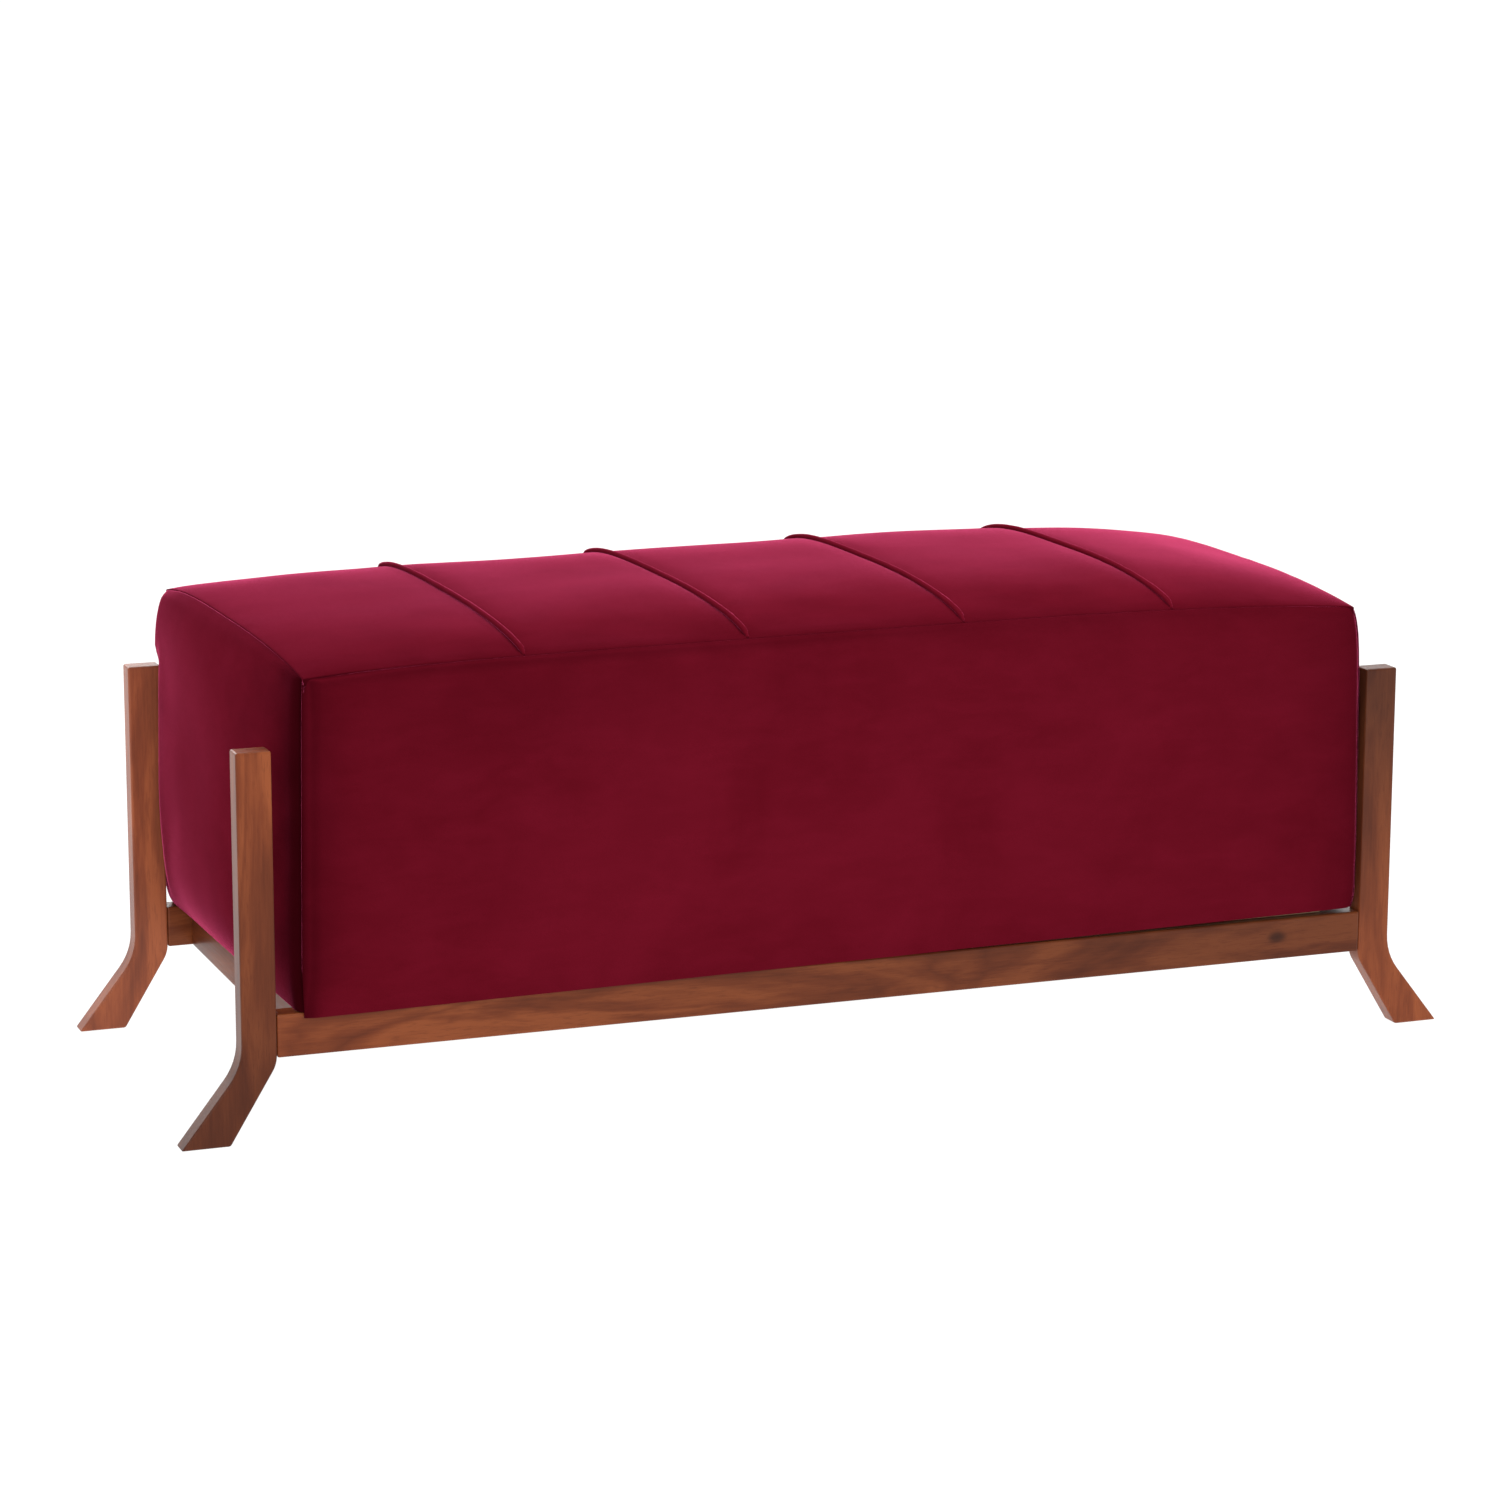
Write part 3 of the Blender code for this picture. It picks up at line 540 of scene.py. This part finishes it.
def end_point(end, v, w):
    """The left or right cover, at v across the seat and w up from the hem."""
    seam = top_point(end * np.ones_like(v), v)
    share_back = (1 + v) / 2
    share_up = (1 + w) / 2
    hem = max(hem_height(end), RAIL_TOP + FRAME_CLEARANCE + CLOTH_THICKNESS / 2)
    upright, upper = edge_shoulders(v, 2 * SEAT_Y, w, seam[..., 2] - hem)
    x = corner_x("front", end, w) * (1 - share_back) + corner_x("back", end, w) * share_back
    x = x + edge_depth(UPRIGHT_EDGE_RADIUS) * upright * upper + END_BULGE * swell(v, 2) * swell(w, 6)
    z = hem + (seam[..., 2] - hem) * share_up
    x = soft_minimum(x, leg_limit(v * SEAT_Y, z), LEG_BLEND)
    front = side_point("front", end * np.ones_like(v), w)
    back = side_point("back", end * np.ones_like(v), w)
    y = front[..., 1] * (1 - share_back) + back[..., 1] * share_back
    return np.stack([end * x, y, z], -1)


# --- sewn panels -------------------------------------------------------------------------------------------

def stations(length):
    """Distances from 0 to length, close together at the ends where the cloth rolls into its seams."""
    rolled = ROLL_STATIONS[-1]
    near = ROLL_STATIONS[:-1]
    count = max(2, round((length - 2 * rolled) / CLOTH_STEP))
    middle = np.linspace(rolled, length - rolled, count + 1)
    return np.concatenate([near, middle, [length - distance for distance in reversed(near)]])


def ripple(points, seed):
    """Smooth noise from -1 to 1 at each point."""
    flat = points.reshape(-1, 3)
    values = [noise.noise(Vector(point) + Vector((seed, seed * 0.37, seed * 0.71))) for point in flat]
    return np.array(values).reshape(points.shape[:-1])


def grid_normals(points):
    across = np.gradient(points, axis=0)
    along = np.gradient(points, axis=1)
    normals = np.cross(across, along)
    return normals / np.maximum(np.linalg.norm(normals, axis=-1, keepdims=True), 1e-12)


def settle(name, shape, length, width, outward):
    """Lets a panel of cloth settle over its padding, as a simulation, and returns how far its points move.

    The cloth is cut a little larger than the shape that it covers, and it is held along its edges.
    """
    rows = round(length / SIMULATION_STEP) + 1
    columns = round(width / SIMULATION_STEP) + 1
    a, b = np.meshgrid(np.linspace(0, 1, rows), np.linspace(0, 1, columns), indexing="ij")
    target = shape(a, b)
    normals = grid_normals(target)
    if np.sum(normals * np.array(outward)) < 0:
        normals = -normals
    inset = SETTLING_ROOM * swell(2 * a - 1) * swell(2 * b - 1)
    cloth = mesh_object(name, target - normals * inset[..., None], outward)
    held = np.zeros((rows, columns), bool)
    held[[0, -1], :] = True
    held[:, [0, -1]] = True
    cloth.vertex_groups.new(name="held").add(np.flatnonzero(held.ravel()).tolist(), 1.0, "REPLACE")
    modifier = cloth.modifiers.new("cloth", "CLOTH")
    modifier.point_cache.frame_start = 1
    modifier.point_cache.frame_end = SETTLING_FRAMES
    modifier.collision_settings.use_collision = False
    settings = modifier.settings
    settings.quality = CLOTH_QUALITY
    settings.mass = CLOTH_MASS
    settings.bending_stiffness = CLOTH_BENDING
    settings.vertex_group_mass = "held"
    settings.shrink_min = -CLOTH_EASE
    settings.use_pressure = True
    settings.uniform_pressure_force = TOP_PRESSURE if outward[2] else SIDE_PRESSURE
    settings.effector_weights.gravity = 0
    for frame_number in range(1, SETTLING_FRAMES + 1):
        bpy.context.scene.frame_set(frame_number)
    settled = cloth.evaluated_get(bpy.context.evaluated_depsgraph_get()).to_mesh()
    places = np.empty(len(settled.vertices) * 3)
    settled.vertices.foreach_get("co", places)
    moves = ironed(places.reshape(rows, columns, 3) - target)
    mesh = cloth.data
    bpy.data.objects.remove(cloth)
    bpy.data.meshes.remove(mesh)
    bpy.context.scene.frame_set(1)
    distance = np.maximum(np.linalg.norm(moves, axis=-1, keepdims=True), 1e-9)
    return moves * np.tanh(distance / SETTLING_LIMIT) * SETTLING_LIMIT / distance


def ironed(moves):
    """The moves without the smallest ripples, which a lined velvet is too stiff to hold."""
    for _ in range(IRONING):
        moves[1:-1] = (moves[:-2] + 2 * moves[1:-1] + moves[2:]) / 4
        moves[:, 1:-1] = (moves[:, :-2] + 2 * moves[:, 1:-1] + moves[:, 2:]) / 4
    return moves


def spread(moves, a, b):
    """The moves between the points of a coarse grid, at a and b from 0 to 1."""
    if moves is None:
        return 0
    rows, columns = moves.shape[:2]
    row = np.minimum((a * (rows - 1)).astype(int), rows - 2)
    column = np.minimum((b * (columns - 1)).astype(int), columns - 2)
    down = ease_between(a * (rows - 1) - row)
    across = ease_between(b * (columns - 1) - column)
    near = moves[row, column] * (1 - down) + moves[row + 1, column] * down
    far = moves[row, column + 1] * (1 - down) + moves[row + 1, column + 1] * down
    return near * (1 - across) + far * across


def ease_between(share):
    """A share from 0 to 1 with an easy start and end, for use on points."""
    return (share * share * (3 - 2 * share))[..., None]


def seam_dip(distance, sewn):
    """How far the cloth lies inside the seat's shape at a distance from a seam."""
    to_flat = np.clip(SEAM_ROLL - distance, 0, SEAM_ROLL)
    roll = SEAM_ROLL - np.sqrt(np.maximum(0, SEAM_ROLL ** 2 - to_flat ** 2))
    return (roll + SEAM_PINCH * np.exp(-distance / SEAM_PINCH_REACH)) * sewn


def sewn_panel(name, shape, length, width, outward, sewn, seed, marks):
    """One panel of the cover as a mesh object.

    shape(a, b) gives points for a and b from 0 to 1. length and width are its size in metres, and outward is
    a rough outside direction. sewn has four values for the edges a = 0, a = 1, b = 0 and b = 1: 1 where the
    edge is in a seam, and 0 where it is a hem. marks gives, from the points, how plainly each seam shows: its
    groove, the darkening beside it and how far that darkening reaches, for each edge. The groove's dark line
    is painted shadow, and the darkening beside a seam is partly crushed pile and partly painted shade;
    together they make the seam_shade attribute.
    """
    a_metres = stations(length)
    b_metres = stations(width)
    a, b = np.meshgrid(a_metres / length, b_metres / width, indexing="ij")
    points = shape(a, b) + spread(settle(name + "_settling", shape, length, width, outward), a, b)
    normals = grid_normals(points)
    if np.sum(normals * np.array(outward)) < 0:
        normals = -normals
    distances = (a * length, (1 - a) * length, b * width, (1 - b) * width)
    puckers = ripple(points / PUCKER_LENGTH, seed)
    waves = ripple(points / WAVE_LENGTH, seed + 5.0)
    inward = np.zeros_like(a)
    shade = np.zeros_like(a)
    patches = ripple(points / PATCH_LENGTH, seed + 9.0)
    # Painted shadow in each groove, and beside it painted shade with crushed pile
    for distance, is_sewn, (groove, soft, reach) in zip(distances, sewn, marks(points)):
        inward = np.maximum(inward, seam_dip(distance, is_sewn * groove))
        line = SEAM_LINE * groove * (0.8 + 0.4 * puckers) * np.exp(-(distance / SEAM_LINE_WIDTH) ** 2)
        beside = soft * np.exp(-distance / (reach * (1 + 0.5 * patches)))
        shade = np.maximum(shade, np.clip(line + beside, 0, 1))
    to_seams = [np.where(is_sewn, distance, 1.0) for distance, is_sewn in zip(distances, sewn)]
    nearest = np.minimum.reduce(to_seams)
    inward += PUCKER * puckers * np.exp(-nearest / PUCKER_REACH) * np.clip(nearest / SEAM_ROLL, 0, 1)
    inward += WAVE * waves * np.clip(nearest / WAVE_REACH, 0, 1)
    points = points - normals * inward[..., None]
    points = clear_of_frame(with_allowances(points, normals, sewn))
    shade = np.pad(shade, ((int(sewn[0]), int(sewn[1])), (int(sewn[2]), int(sewn[3]))), mode="edge")
    panel = mesh_object(name, points, outward)
    panel.data.attributes.new("seam_shade", "FLOAT", "POINT").data.foreach_set("value", shade.ravel())
    return panel


def long_seam_mark(points):
    """The front and back top seams show near the corners only."""
    from_left = points[..., 0] + SEAT_X
    from_right = SEAT_X - points[..., 0]
    left, left_fade = LONG_SEAM_LEFT
    right, right_fade = LONG_SEAM_RIGHT
    mark = LONG_SEAM_FAINTEST + left * np.exp(-from_left / left_fade)
    mark = mark + right * np.exp(-from_right / right_fade)
    return np.clip(mark, 0, 1)


def top_marks(points):
    """The marks of a top panel: its two sides, then the front and back seams."""
    long_seam = LONG_SEAM_GROOVE * long_seam_mark(points)
    side = (0.35, 0.10, 18 * MM)
    # The second value of each is painted shade; along the front seam it reaches far back over the top's
    # rounded front
    return side, side, (long_seam, 0.26, 45 * MM), (long_seam, 0.15, 18 * MM)


def side_marks(points):
    """The marks of the front or back: the left and right seams, the hem and the top seam."""
    long_seam = LONG_SEAM_GROOVE * long_seam_mark(points)
    # The second value of each is painted shade; the broad band at the right seam darkens the front's turn
    # away from the light
    return (0.10, 0.58, 13 * MM), (0.25, 0.42, 45 * MM), (0, 0.12, 20 * MM), (long_seam, 0.24, 10 * MM)


def end_marks(points):
    """The marks of the left or right end: the front and back seams, the hem and the top seam."""
    # The second value of each is painted shade: at the front seam for the near leg's shadow and the end's
    # turn to the front, at the hem under the rounded bottom
    return (0.10, 0.85, 52 * MM), (0.30, 0.25, 18 * MM), (0, 0.60, 30 * MM), (0.30, 0.14, 14 * MM)


def with_allowances(points, normals, sewn):
    """Adds a row past each sewn edge, where the cloth turns straight in behind the seam."""
    if sewn[2]:
        points = np.concatenate([points[:, :1] - normals[:, :1] * SEAM_ALLOWANCE, points], axis=1)
        normals = np.concatenate([normals[:, :1], normals], axis=1)
    if sewn[3]:
        points = np.concatenate([points, points[:, -1:] - normals[:, -1:] * SEAM_ALLOWANCE], axis=1)
        normals = np.concatenate([normals, normals[:, -1:]], axis=1)
    if sewn[0]:
        points = np.concatenate([points[:1] - normals[:1] * SEAM_ALLOWANCE, points], axis=0)
        normals = np.concatenate([normals[:1], normals], axis=0)
    if sewn[1]:
        points = np.concatenate([points, points[-1:] - normals[-1:] * SEAM_ALLOWANCE], axis=0)
    return points


def clear_of_frame(points):
    """Keeps a panel's points off the legs, and over the rails or, on the front and back, in front of them."""
    x, y, z = points[..., 0], points[..., 1], points[..., 2]
    over_rail = np.abs(y) < SEAT_Y + CLOTH_THICKNESS + FRAME_CLEARANCE
    z = np.where(over_rail, np.maximum(z, RAIL_TOP + FRAME_CLEARANCE), z)
    x = np.sign(x) * soft_minimum(np.abs(x), leg_limit(y, z), CLOTH_BLEND)
    return np.stack([x, y, z], -1)


def new_object(name, data):
    obj = bpy.data.objects.new(name, data)
    bpy.context.scene.collection.objects.link(obj)
    return obj


def mesh_object(name, points, outward):
    """A grid of points as a smooth mesh object whose faces look outward."""
    rows, columns = points.shape[:2]
    index = np.arange(rows * columns).reshape(rows, columns)
    faces = np.stack([index[:-1, :-1], index[1:, :-1], index[1:, 1:], index[:-1, 1:]], -1).reshape(-1, 4)
    mesh = bpy.data.meshes.new(name)
    mesh.from_pydata(points.reshape(-1, 3).tolist(), [], faces.tolist())
    mesh.update()
    total = sum((polygon.normal * polygon.area for polygon in mesh.polygons), Vector())
    if total.dot(Vector(outward)) < 0:
        mesh.flip_normals()
    mesh.shade_smooth()
    return new_object(name, mesh)


def thicken(obj, thickness=CLOTH_THICKNESS):
    solid = obj.modifiers.new("cloth thickness", "SOLIDIFY")
    solid.thickness = thickness
    solid.offset = -1.0


def cover_piece(obj, material, nodes):
    """Finishes a panel of the cover: its cloth, its body and the CAD nodes that it stands for."""
    thicken(obj)
    obj.data.materials.append(material)
    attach(obj, "root")
    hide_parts(*nodes)


def make_top(material):
    edges = [-SEAT_X] + WELT_FRONT_X + [SEAT_X]
    for number, (start, end) in enumerate(zip(edges, edges[1:]), start=1):
        def shape(a, b, number=number):
            v = 2 * b - 1
            left = -np.ones_like(v) if number == 1 else welt_u(number - 1, v)
            right = np.ones_like(v) if number == 5 else welt_u(number, v)
            return top_point(left + (right - left) * a, v)
        panel = sewn_panel(f"top_panel_{number}", shape, end - start, 2 * SEAT_Y + TOP_ROLL, (0, 0, 1),
                           (1, 1, 1, 1), seed=10.0 * number, marks=top_marks)
        nodes = [f"top_cover_{number}"] + (["top_foam"] if number == 3 else [])
        cover_piece(panel, material, nodes)


def make_sides(material):
    height = CORNER_SEAM_Z - RAIL_TOP
    for side, y_sign in (("front", -1), ("back", 1)):
        def shape(a, b, side=side):
            return side_point(side, 2 * a - 1, 2 * b - 1)
        panel = sewn_panel(f"{side}_cover_panel", shape, 2 * SEAT_X, height, (0, y_sign, 0), (1, 1, 0, 1),
                           seed=70.0 + y_sign, marks=side_marks)
        cover_piece(panel, material, [f"{side}_cover", f"{side}_foam"])
    for end_name, end in (("left", -1), ("right", 1)):
        def shape(a, b, end=end):
            return end_point(end, 2 * a - 1, 2 * b - 1)
        panel = sewn_panel(f"{end_name}_cover_panel", shape, 2 * SEAT_Y, height, (end, 0, 0), (1, 1, 0, 1),
                           seed=90.0 + end, marks=end_marks)
        cover_piece(panel, material, [f"{end_name}_cover", f"{end_name}_foam"])


def make_welts(material):
    """The raised cords over the top: round, slightly uneven, and fading into the seams at their ends."""
    turns = np.linspace(0, 2 * pi, WELT_SIDES, endpoint=False)
    for number in (1, 2, 3, 4):
        v = np.sin(np.linspace(-pi / 2, pi / 2, WELT_STATIONS)) * WELT_REACH
        to_end = 1 - np.abs(v)
        path = top_point(welt_u(number, v), v)
        forward = np.gradient(path, axis=0)
        forward /= np.linalg.norm(forward, axis=-1, keepdims=True)
        sideways = np.tile([1.0, 0.0, 0.0], (len(v), 1))
        up = np.cross(sideways, forward)
        uneven = ripple(path / WELT_UNEVENNESS_LENGTH, 3.0 * number)
        taper = np.clip(to_end / WELT_TAPER_SHARE, 0.25, 1) ** 0.5
        radius = WELT_RADIUS * (1 + WELT_UNEVENNESS * uneven) * taper
        lift = WELT_LIFT - WELT_END_DROP * np.clip(1 - to_end / WELT_DROP_SHARE, 0, 1)
        wander = WELT_WANDER * ripple(path / WELT_WANDER_LENGTH, 9.0 * number)
        centre = path + up * lift[:, None] + sideways * wander[:, None]
        ring = (np.cos(turns)[None, :, None] * sideways[:, None] + np.sin(turns)[None, :, None] * up[:, None])
        points = centre[:, None] + ring * radius[:, None, None]
        welt = tube_object(f"welt_cord_{number}", points)
        welt.data.materials.append(material)
        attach(welt, "root")
        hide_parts(f"welt_{number}")


def tube_object(name, rings):
    """A closed tube through rings of points, with a cap at each end."""
    count, sides = rings.shape[:2]
    index = np.arange(count * sides).reshape(count, sides)
    beside = np.roll(index, -1, axis=1)
    faces = np.stack([index[:-1], beside[:-1], beside[1:], index[1:]], -1).reshape(-1, 4).tolist()
    faces.append(index[0, ::-1].tolist())
    faces.append(index[-1].tolist())
    mesh = bpy.data.meshes.new(name)
    mesh.from_pydata(rings.reshape(-1, 3).tolist(), [], faces)
    mesh.update()
    mesh.shade_smooth()
    return new_object(name, mesh)


def make_dust_cover(material):
    """The black cloth stapled under the seat, cut back around the corner blocks, with a slight sag."""
    (x_low, y_low, z_low), (x_high, y_high, z_high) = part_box("dust_cover")
    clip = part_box("corner_block_front_left")[1][0] - x_low + DUST_CLOTH_ROOM
    x = np.linspace(x_low, x_high, DUST_CLOTH_STATIONS[0])
    y = np.linspace(y_low, y_high, DUST_CLOTH_STATIONS[1])
    xs, ys = np.meshgrid(x, y, indexing="ij")
    limit = np.clip((y_high - y_low) / 2 - np.clip(clip - (x_high - np.abs(xs)), 0, clip), 0, None)
    ys = ys / y_high * limit
    points = np.stack([xs, ys, np.full_like(xs, z_high)], -1)
    loose = swell(xs / x_high) * swell(ys / np.maximum(limit, 1e-6))
    points[..., 2] -= DUST_CLOTH_SAG * (ripple(points / DUST_CLOTH_SAG_LENGTH, 2.0) + 1) * loose
    cloth = mesh_object("dust_cover_cloth", points, (0, 0, -1))
    thicken(cloth, DUST_CLOTH_THICKNESS)
    cloth.data.materials.append(material)
    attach(cloth, "root")
    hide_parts("dust_cover")


# --- studio ------------------------------------------------------------------------------------------------

def make_camera():
    data = bpy.data.cameras.new("camera")
    data.lens = CAMERA_LENS
    camera = new_object("camera", data)
    heading = Matrix.Rotation(radians(CAMERA_HEADING), 4, "Z")
    tilt = Matrix.Rotation(radians(90 - CAMERA_DOWN), 4, "X")
    roll = Matrix.Rotation(radians(CAMERA_ROLL), 4, "Z")
    camera.matrix_world = Matrix.Translation(CAMERA_PLACE) @ (heading @ tilt) @ roll
    bpy.context.scene.camera = camera


def area_light(name, place, target, size, power):
    data = bpy.data.lights.new(name, "AREA")
    data.shape = "RECTANGLE"
    data.size, data.size_y = size
    data.energy = power
    light = new_object(name, data)
    light.location = place
    light.rotation_euler = (Vector(target) - Vector(place)).to_track_quat("-Z", "Y").to_euler()


def make_world():
    """White behind the bench and over it, and a dim room in front of it."""
    world = bpy.data.worlds.new("studio")
    world.use_nodes = True
    tree = world.node_tree
    direction = tree.nodes.new("ShaderNodeTexCoord")
    towards = tree.nodes.new("ShaderNodeVectorMath")
    towards.operation = "DOT_PRODUCT"
    towards.inputs[1].default_value = TOWARDS_BACK
    brightness = tree.nodes.new("ShaderNodeMapRange")
    brightness.interpolation_type = "SMOOTHSTEP"
    brightness.inputs["From Min"].default_value = -0.7
    brightness.inputs["From Max"].default_value = 0.6
    brightness.inputs["To Min"].default_value = ROOM_BRIGHTNESS
    brightness.inputs["To Max"].default_value = WALL_BRIGHTNESS
    tree.links.new(direction.outputs["Generated"], towards.inputs[0])
    tree.links.new(towards.outputs["Value"], brightness.inputs["Value"])
    tree.links.new(brightness.outputs[0], tree.nodes["Background"].inputs["Strength"])
    tree.nodes["Background"].inputs["Color"].default_value = (1, 1, 1, 1)
    bpy.context.scene.world = world
    bpy.context.scene.view_settings.view_transform = "Standard"


def make_floor():
    """A white acrylic light table, so that nearly no shadow shows on it."""
    corners = [(x * FLOOR_HALF, y * FLOOR_HALF, 0) for x, y in ((-1, -1), (1, -1), (1, 1), (-1, 1))]
    mesh = bpy.data.meshes.new("floor")
    mesh.from_pydata(corners, [], [(0, 1, 2, 3)])
    floor = new_object("floor", mesh)
    n = Nodes("white_acrylic")
    tone = n.ramp(n.noise(n.place((1, 1, 1)), 1.5), (0.3, 0.11), (0.7, 0.13))
    mesh.materials.append(n.finish(Base_Color=tone, Roughness=0.8, Specular_IOR_Level=0.0,
                                   Emission_Color=(1, 1, 1), Emission_Strength=1.0))


def make_studio():
    make_world()
    make_floor()
    for light in LIGHTS:
        area_light(*light)


make_camera()
make_studio()
dress_frame()
VELVET = velvet()
make_top(VELVET)
make_sides(VELVET)
make_welts(VELVET)
make_dust_cover(dust_cloth())
